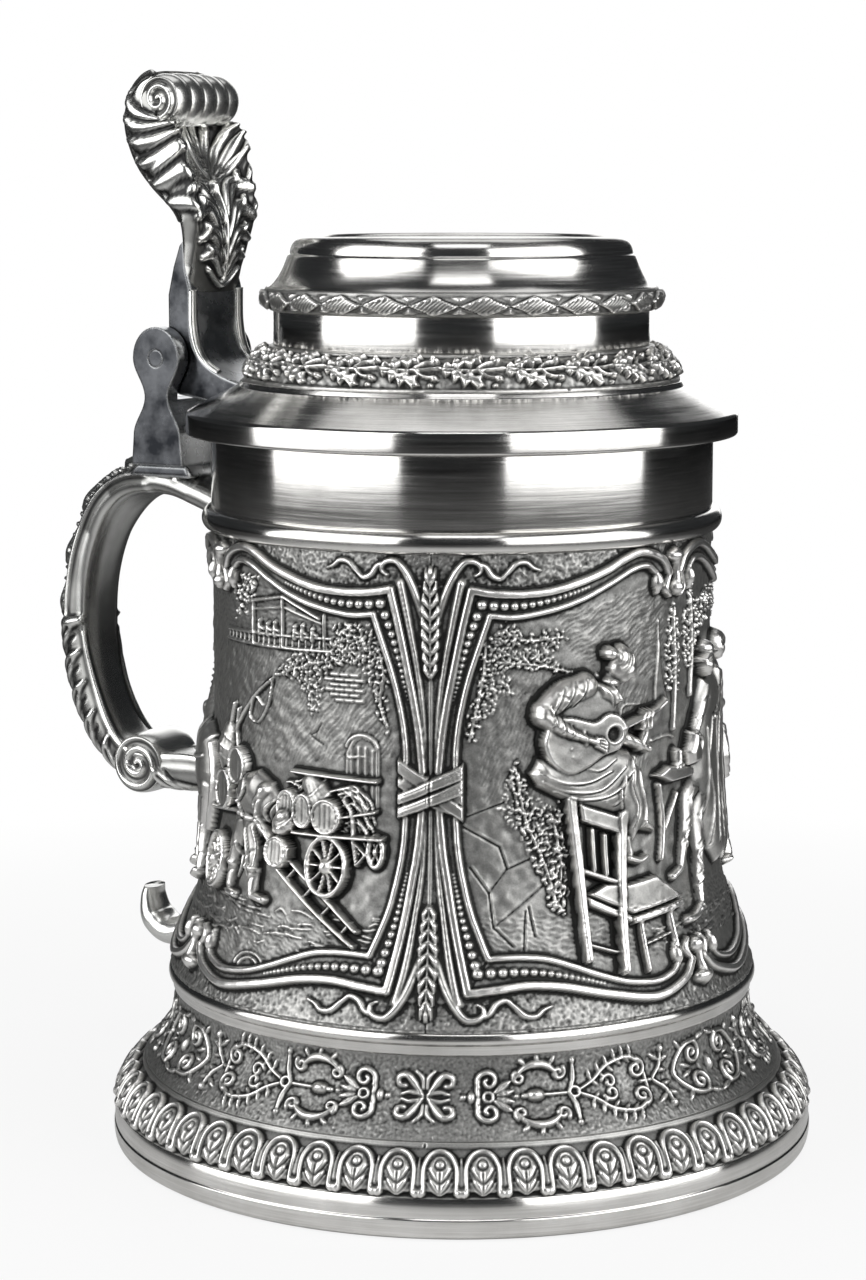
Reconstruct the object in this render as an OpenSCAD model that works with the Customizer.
// Lidded pewter tankard: relief-cast drum on a stepped foot, turned lip and domed lid,
// loop handle with a clevis hinge at its head and a scrolled thumb-piece on the lid.
// Millimetres, +Z up, origin at the centre of the foot's resting ring.
// The handle points to -X and the lid turns about a pin along Y.

/* [Foot] */
// Largest radius of the plain rim the tankard stands on
foot_r = 62.8; // [58:0.1:68]
// Height of the plain rim
foot_rim_h = 7; // [5:0.1:9]
// Height of the palmette ring above the rim
leaf_ring_h = 7.9; // [6:0.1:10]
// Height of the concave scrolled skirt
skirt_h = 12.8; // [10:0.1:16]
// Height of the plain ring at the waist
waist_h = 4; // [3:0.1:6]

/* [Drum] */
// Outer radius of the upper drum, measured on the ground between the reliefs
drum_r = 43.9; // [40:0.1:48]
// Height of the relief drum
drum_h = 78; // [60:0.5:100]
// How much wider the drum is where it meets the waist
drum_flare = 8.6; // [6:0.1:10]
// Wall thickness of the cast shells
wall = 2.4; // [2:0.1:3]
// Thickness of the floor plate
floor_t = 3; // [2:0.1:4]

/* [Lip] */
// Height of the half-round bead over the drum
bead_h = 3.9; // [3:0.1:5]
// How far the bead stands proud of the lip
bead_proud = 1.7; // [1:0.1:2.5]
// Height of the plain lip collar
collar_h = 12.55; // [10:0.05:20]

/* [Lid] */
// Gap between the closed lid and the rim of the lip
seat_gap = 0.15; // [0.1:0.05:0.3]
// Outer radius of the lid flange
flange_r = 48.4; // [47:0.1:52]
// Height of the flange's upright edge
flange_edge_h = 3.5; // [2.5:0.1:5]
// Height of the whole flange with its cone
flange_h = 9.3; // [8:0.1:11]
// Height of the oak-leaf ring
wreath_h = 6.1; // [5:0.1:8]
// Height of the plain neck
neck_h = 6; // [4:0.1:10]
// Height of the lozenge ring
diamond_h = 4; // [3:0.1:5]
// Height of the moulded crown
crown_h = 8.8; // [7:0.1:12]
// Radius of the dished disc let into the crown
disc_r = 26.4; // [22:0.1:27]

/* [Hinge] */
// Distance of the hinge pin from the drum's axis
hinge_x = 57.3; // [56:0.1:60]
// Radius of the hinge pin
pin_r = 1.6; // [1.2:0.1:2]
// Radial running clearance of the pin in the lid's knuckle
pin_clearance = 0.05; // [0.02:0.01:0.08]
// Radius of the knuckle on the lid strap
knuckle_r = 4.6; // [4:0.1:4.8]
// Half the width of the lid strap and its knuckle
strap_half_w = 8.4; // [7:0.1:9]
// Thickness of each hinge lug
lug_t = 3.2; // [2.5:0.1:4]
// Side gap between the strap and each lug
lug_gap = 0.3; // [0.2:0.05:0.5]
// Half the width of a lug's egg-shaped head
lug_head_r = 5; // [4.8:0.1:5.4]
// Height of the lug's head above the pin
lug_head_h = 5.7; // [5.3:0.1:6.5]

/* [Handle] */
// Width of the handle where the hand holds it
handle_w = 11.5; // [9:0.1:14]
// Thickness of the handle
handle_t = 6.4; // [5:0.1:8]
// Width of the thumb-piece
thumb_w = 24; // [18:0.5:28]

/* [Hidden] */
$fn = 96;

// Levels, from the table up
z_leaf = foot_rim_h;
z_skirt = z_leaf + leaf_ring_h;
z_waist = z_skirt + skirt_h;
z_drum = z_waist + waist_h;
z_bead = z_drum + drum_h;
z_collar = z_bead + bead_h;
z_rim = z_collar + collar_h;
z_lid = z_rim + seat_gap;
z_wreath = z_lid + flange_h;
z_neck = z_wreath + wreath_h;
z_diamond = z_neck + neck_h;
z_crown = z_diamond + diamond_h;
z_top = z_crown + crown_h;
z_pin = z_lid + 11.7;
z_pad = z_pin - 19.4;           // top of the handle's pad, under the hinge block
z_stem = z_pin + 12.4;          // top of the lid strap, under the thumb-piece

// Radii shared by neighbouring rings
inner_r = drum_r - wall;
rebate_r = inner_r + 1.2;       // spigot joint between the lip and the drum
rebate_h = 3;
collar_r = drum_r + 0.2;
waist_r = drum_r + drum_flare;
floor_r = waist_r - 4.5;
skirt_base_r = foot_r - 5.8;
wreath_r = 38.3;
neck_r = 33;
diamond_r = 35.5;
crown_r = 34;
crown_top_r = disc_r + 1.5;
lid_inner_r = neck_r - wall;
lug_inner = strap_half_w + lug_gap;
lug_outer = lug_inner + lug_t;

bright = [0.78, 0.78, 0.76];
aged = [0.52, 0.52, 0.50];
polished = [0.68, 0.69, 0.68];

// Cubic curve through p0 and p3, pulled towards p1 and p2
function bezier(p0, p1, p2, p3, n = 10) =
    [for (i = [0 : n]) let (t = i / n, u = 1 - t)
        u*u*u*p0 + 3*u*u*t*p1 + 3*u*t*t*p2 + t*t*t*p3];

// Smooth curve through a list of points, with n steps between neighbours
function spline_point(p, i, t) =
    let (last = len(p) - 1,
         a = p[max(i - 1, 0)], b = p[i], c = p[min(i + 1, last)], d = p[min(i + 2, last)])
    0.5 * (2*b + (c - a)*t + (2*a - 5*b + 4*c - d)*t*t + (3*b - a - 3*c + d)*t*t*t);
function spline(p, n) =
    [for (i = [0 : len(p) - 2], k = [0 : n - 1]) spline_point(p, i, k / n), p[len(p) - 1]];

// Ground radius of the drum at height z
flare_start_z = z_bead - 21.7;
function drum_ground(z) =
    drum_r + (z >= flare_start_z ? 0 : drum_flare * pow((flare_start_z - z) / (flare_start_z - z_drum), 3.2));

// One turned ring from its profile of [radius, height] points
module turned(profile) {
    rotate_extrude() polygon(profile);
}

// A flat shape drawn in [distance from the axis, height] and given a width across the handle
module across(half_w) {
    rotate([90, 0, 0]) mirror([1, 0, 0])
        translate([0, 0, -half_w]) linear_extrude(2 * half_w) children();
}

// Width and thickness of a strap at u, from 0 at its start to 1 at its end. The loop is spread
// where it carries the hinge block and widens a little at its foot, and the tail only tapers.
loop_head_w = 23;
loop_spread = 0.24;             // share of the loop's length over which the spread dies away
loop_foot_extra = 1.5;
tail_w = [10, 7];
tail_t = [4, 3.2];
function between(ends, u) = ends[0] + (ends[1] - ends[0]) * u;
function strap_w(kind, u) = kind == "loop"
    ? handle_w + (loop_head_w - handle_w) * pow(max(0, 1 - u / loop_spread), 1.5)
        + loop_foot_extra * pow(u, 6)
    : between(tail_w, u);
function strap_t(kind, u) = kind == "loop" ? handle_t : between(tail_t, u);

// Strap with a rounded section, swept along a path of [distance from the axis, height] points
squareness = 0.75;              // 1 is an ellipse, and less is nearer a rectangle
module swept(path, kind, sides = 20) {
    n = len(path);
    rings = [for (i = [0 : n - 1])
        let (u = i / (n - 1),
             ahead = path[min(i + 1, n - 1)] - path[max(i - 1, 0)],
             d = ahead / norm(ahead),
             w = strap_w(kind, u) / 2, t = strap_t(kind, u) / 2)
        [for (k = [0 : sides - 1])
            let (a = 360 * k / sides,
                 side = w * sign(cos(a)) * pow(abs(cos(a)), squareness),
                 lift = t * sign(sin(a)) * pow(abs(sin(a)), squareness))
            [-(path[i][0] - d[1] * lift), side, path[i][1] + d[0] * lift]]];
    polyhedron(
        points = [for (ring = rings) each ring],
        faces = [
            [for (k = [sides - 1 : -1 : 0]) k],
            for (i = [0 : n - 2], k = [0 : sides - 1]) let (a = i*sides + k, b = i*sides + (k + 1) % sides)
                each [[a, b + sides, a + sides], [a, b, b + sides]],
            [for (k = [0 : sides - 1]) (n - 1)*sides + k]]);
}

// Everything inside the outer surface of the standing vessel, used to seat the handle on it
module vessel_envelope() {
    turned([[0, z_waist], each waist_outline(), each drum_outline(), each bead_outline(),
            [collar_r, z_collar], [collar_r, z_rim], [0, z_rim]]);
}

function drum_outline() = [for (i = [0 : 24]) let (z = z_drum + drum_h * i / 24)
    [z < z_drum + 0.5 ? drum_ground(z) - 0.3 : drum_ground(z), z]];

function waist_outline() = [
    [waist_r - 0.9, z_waist], [waist_r - 0.6, z_waist + 0.4], [waist_r - 0.6, z_waist + 1.8],
    each bezier([waist_r - 0.3, z_waist + 2], [waist_r + 0.4, z_waist + 2.2],
                [waist_r + 0.2, z_drum - 0.3], [waist_r - 0.4, z_drum], 6)];

function bead_outline() =
    [for (i = [0 : 12]) let (a = -90 + 15 * i)
        [collar_r + bead_proud * cos(a), z_bead + bead_h / 2 + bead_h / 2 * sin(a)]];

// ---- Standing vessel ----

module drum() color(aged)
    turned([each drum_outline(),
            [rebate_r, z_bead], [rebate_r, z_bead - rebate_h], [inner_r, z_bead - rebate_h],
            for (i = [20 : -1 : 0]) let (z = z_drum + (drum_h - rebate_h - 4) * i / 20)
                [max(drum_ground(z) - wall, inner_r), z]]);

module collar_bead() color(bright)
    turned([each bead_outline(), [rebate_r, z_collar], [rebate_r, z_bead]]);

module lip_collar() color(bright)
    turned([[rebate_r, z_bead - rebate_h], [rebate_r, z_collar], [collar_r, z_collar],
            each bezier([collar_r, z_rim - 0.6], [collar_r, z_rim - 0.2],
                        [collar_r - 0.2, z_rim], [collar_r - 0.6, z_rim], 4),
            [inner_r + 0.5, z_rim], [inner_r, z_rim - 0.5], [inner_r, z_bead - rebate_h]]);

module waist_ring() color(bright)
    turned([[floor_r - 2, z_waist], each waist_outline(),
            [floor_r, z_drum], [floor_r, z_drum - floor_t], [floor_r - 2, z_drum - floor_t]]);

module floor_plate() color(polished)
    translate([0, 0, z_drum - floor_t]) cylinder(r = floor_r, h = floor_t);

function skirt_outline(inset) =
    bezier([skirt_base_r - inset, z_skirt], [skirt_base_r - 4 - inset, z_skirt + 5.2],
           [waist_r - 1.6 - inset, z_skirt + 6], [waist_r - 1.2 - inset, z_waist], 10);

module foot_skirt() color(aged)
    turned([each skirt_outline(0), for (i = [10 : -1 : 0]) skirt_outline(wall)[i]]);

module leaf_ring() color(aged)
    turned([each bezier([foot_r - 0.6, z_leaf], [foot_r - 0.6, z_leaf + 3.2],
                        [skirt_base_r + 2.4, z_skirt - 1.6], [skirt_base_r + 0.2, z_skirt], 8),
            [skirt_base_r - wall, z_skirt], [foot_r - 4.4, z_leaf]]);

module foot_rim() color(bright)
    turned([[foot_r - 7, 0], [foot_r - 1.3, 0],
            each bezier([foot_r - 0.5, 0.5], [foot_r - 0.1, 1], [foot_r, 2], [foot_r, 3.5], 5),
            [foot_r - 0.25, 3.75], [foot_r - 0.15, 4.1], [foot_r - 0.2, 5.6], [foot_r - 0.5, z_leaf],
            [foot_r - 4.4, z_leaf], [foot_r - 5, 3]]);

// ---- Handle and hinge, fixed to the vessel ----

// Middle line of the loop: [distance from the axis, height]
loop_points = [[42, z_pin - 28.6], [50, z_pin - 24.8], [57.5, z_pin - 22.4], [65.5, z_pin - 22.8],
    [72, z_pin - 25.6], [77, z_pin - 31], [80.4, z_pin - 38.5], [82.1, z_pin - 47],
    [81.9, z_pin - 56], [80.2, z_pin - 64], [76.6, z_pin - 71], [71.5, z_pin - 75.6],
    [64, z_pin - 77.2], [54, z_pin - 77], [42, z_pin - 77]];
scroll_at = [67, z_pin - 76.6];
scroll_r = 5.8;

pad_half = 6.2;
pad_t = 4;

module handle() color(polished) difference() {
    union() {
        swept(spline(loop_points, 5), "loop");
        across(lug_outer) polygon([[hinge_x - pad_half, z_pad - pad_t], [hinge_x - pad_half, z_pad],
            [hinge_x + pad_half - 1, z_pad], [hinge_x + pad_half, z_pad - 1],
            [hinge_x + pad_half, z_pad - pad_t]]);
        translate([-scroll_at[0], 0, scroll_at[1]]) rotate([90, 0, 0])
            cylinder(r = scroll_r, h = handle_w + loop_foot_extra, center = true);
    }
    vessel_envelope();
    // Flat seat for the hinge block
    across(lug_outer + 2) translate([hinge_x - 2 * pad_half, z_pad]) square([4 * pad_half, pad_t]);
}

// Middle line of the strip that runs down the drum and flicks outwards
tail_points = [[47, z_drum + 25.2], [48.6, z_drum + 17], [51.6, z_drum + 8.6], [55.4, z_drum + 2],
    [59.8, z_drum - 2.2], [64, z_drum - 3], [67.2, z_drum - 0.6], [68.1, z_drum + 2.8],
    [67.8, z_drum + 5.7]];

module handle_tail() color(polished) difference() {
    swept(spline(tail_points, 5), "tail", 16);
    vessel_envelope();
}

// Half-width of a lug at depth d below the pin: egg-shaped head, narrow neck, spread base
neck_d = 7;
base_d = z_pin - z_pad;
function lug_half(d) =
    d < 0 ? lug_head_r * sqrt(max(0, 1 - pow(d / lug_head_h, 2)))
    : d < neck_d ? 2.5 + (lug_head_r - 2.5) * (0.5 + 0.5 * cos(180 * d / neck_d))
    : 2.5 + 2.6 * pow(sin(90 * min(1, (d - neck_d) / 7)), 2) + 0.4 * max(0, d - 14) / 5;
lug_depths = [for (i = [0 : 8]) -lug_head_h * cos(i * 90 / 8), for (i = [1 : 26]) base_d * i / 26];

module lug_outline() polygon([for (d = lug_depths) [hinge_x + lug_half(d), z_pin - d],
    for (i = [len(lug_depths) - 1 : -1 : 1]) [hinge_x - lug_half(lug_depths[i]), z_pin - lug_depths[i]]]);

module pin_hole(r, half_w) {
    translate([-hinge_x, 0, z_pin]) rotate([90, 0, 0]) cylinder(r = r, h = 2 * half_w, center = true);
}

module hinge_block() color(polished) difference() {
    across(lug_outer) lug_outline();
    pin_hole(neck_d + 0.9, lug_inner);
    pin_hole(pin_r, lug_outer + 1);
}

module hinge_pin() color(polished) pin_hole(pin_r, lug_outer);

// ---- Lid ----

function flange_outline() = [[flange_r - 0.2, z_lid], [flange_r, z_lid + 0.3],
    [flange_r, z_lid + flange_edge_h], [flange_r - 0.35, z_lid + flange_edge_h + 0.4],
    [wreath_r + 0.8, z_wreath - 0.9], [wreath_r + 0.4, z_wreath]];

module lid_flange() color(bright)
    turned([[37, z_lid], each flange_outline(), [lid_inner_r + 3.6, z_wreath],
            [lid_inner_r + 3.6, z_wreath - 2], [37, z_lid + 3]]);

module lid_lip() color(bright)
    turned([[37.8, z_lid - 3], [39.6, z_lid - 3], [40, z_lid - 2.6], [40, z_lid], [37.4, z_lid],
            [37.4, z_lid - 2.6]]);

module wreath_ring() color(aged)
    turned([each bezier([wreath_r, z_wreath], [wreath_r - 0.1, z_wreath + 3.2],
                        [neck_r + 3, z_neck - 0.6], [neck_r + 0.4, z_neck], 8),
            [lid_inner_r, z_neck], [lid_inner_r + 3.6, z_wreath]]);

module neck_band() color(bright)
    turned([[neck_r, z_neck], [neck_r, z_diamond], [lid_inner_r, z_diamond], [lid_inner_r, z_neck]]);

module diamond_ring() color(aged)
    turned([each bezier([neck_r + 0.5, z_diamond], [diamond_r + 0.3, z_diamond + 0.8],
                        [diamond_r + 0.5, z_crown - 1.2], [crown_r + 0.2, z_crown], 8),
            [lid_inner_r, z_crown], [lid_inner_r, z_diamond]]);

module lid_crown() color(bright)
    turned([each bezier([crown_r, z_crown], [crown_r - 1.6, z_crown + 1],
                        [crown_r - 2.6, z_crown + 3], [crown_r - 3.5, z_crown + 5.5], 7),
            each bezier([crown_r - 3.9, z_crown + 5.8], [crown_r - 4, z_crown + 7.4],
                        [crown_top_r + 1.2, z_top - 0.2], [crown_top_r, z_top], 6),
            [disc_r + 0.8, z_top], [disc_r, z_top - 0.5], [disc_r, z_top - 1.6],
            [disc_r - 1.4, z_top - 1.6], [disc_r - 1.4, z_top - 2.8],
            [lid_inner_r - 1.8, z_crown + 4], [lid_inner_r, z_crown]]);

module crown_disc() color(bright)
    turned([[0, z_top - 1.6], [disc_r, z_top - 1.6], [disc_r, z_top - 0.5],
            each bezier([disc_r - 0.6, z_top - 0.5], [disc_r - 6, z_top - 0.8],
                        [disc_r - 16, z_top - 0.9], [0, z_top - 0.9], 8)]);

stem_front = hinge_x - 5.4;
stem_back = hinge_x - 0.4;

module lid_strap() color(polished) difference() {
    union() {
        across(strap_half_w) polygon([
            [40.6, z_lid + 4], [40.6, z_lid + 7.6],
            each bezier([42, z_lid + 7.7], [47.5, z_lid + 9.2], [stem_front, z_lid + 11.5],
                        [stem_front, z_pin + 6], 8),
            [stem_front, z_stem], [stem_back, z_stem], [stem_back, z_pin],
            [hinge_x - 0.4, z_pin - knuckle_r], [hinge_x - 2.2, z_pin - 6.6],
            [hinge_x - 8.6, z_lid + 4.1], [46, z_lid + 3]]);
        pin_hole(knuckle_r, strap_half_w);
    }
    turned([[0, z_lid], each flange_outline(), [0, z_wreath]]);
    pin_hole(pin_r + pin_clearance, strap_half_w + 1);
}

// Leaning blade that curls forward into a roll
roll_at = [hinge_x - 0.3, z_stem + 34.2];
roll_r = 5.1;

module thumb_piece() color(polished) {
    across(thumb_w / 2 - 1) polygon([
        [stem_front, z_stem], [stem_back - 0.6, z_stem],
        each bezier([stem_back - 2.4, z_stem + 5], [stem_back - 3.6, z_stem + 12],
                    [stem_back + 2, z_stem + 19], [stem_back + 6, z_stem + 24], 10),
        each bezier([stem_back + 7.6, z_stem + 27], [stem_back + 9.6, z_stem + 31],
                    [stem_back + 7, z_stem + 38], [roll_at[0], roll_at[1] + roll_r], 10),
        [roll_at[0], roll_at[1]],
        each bezier([roll_at[0] + 1, roll_at[1] - roll_r], [stem_front + 4.5, z_stem + 24],
                    [stem_front - 1, z_stem + 17], [stem_front - 1.2, z_stem + 8], 10)]);
    translate([-roll_at[0], 0, roll_at[1]]) rotate([90, 0, 0])
        cylinder(r = roll_r, h = thumb_w, center = true);
}

drum();
lip_collar();
collar_bead();
waist_ring();
floor_plate();
foot_skirt();
leaf_ring();
foot_rim();
handle();
handle_tail();
hinge_block();
hinge_pin();
lid_flange();
lid_lip();
wreath_ring();
neck_band();
diamond_ring();
lid_crown();
crown_disc();
lid_strap();
thumb_piece();
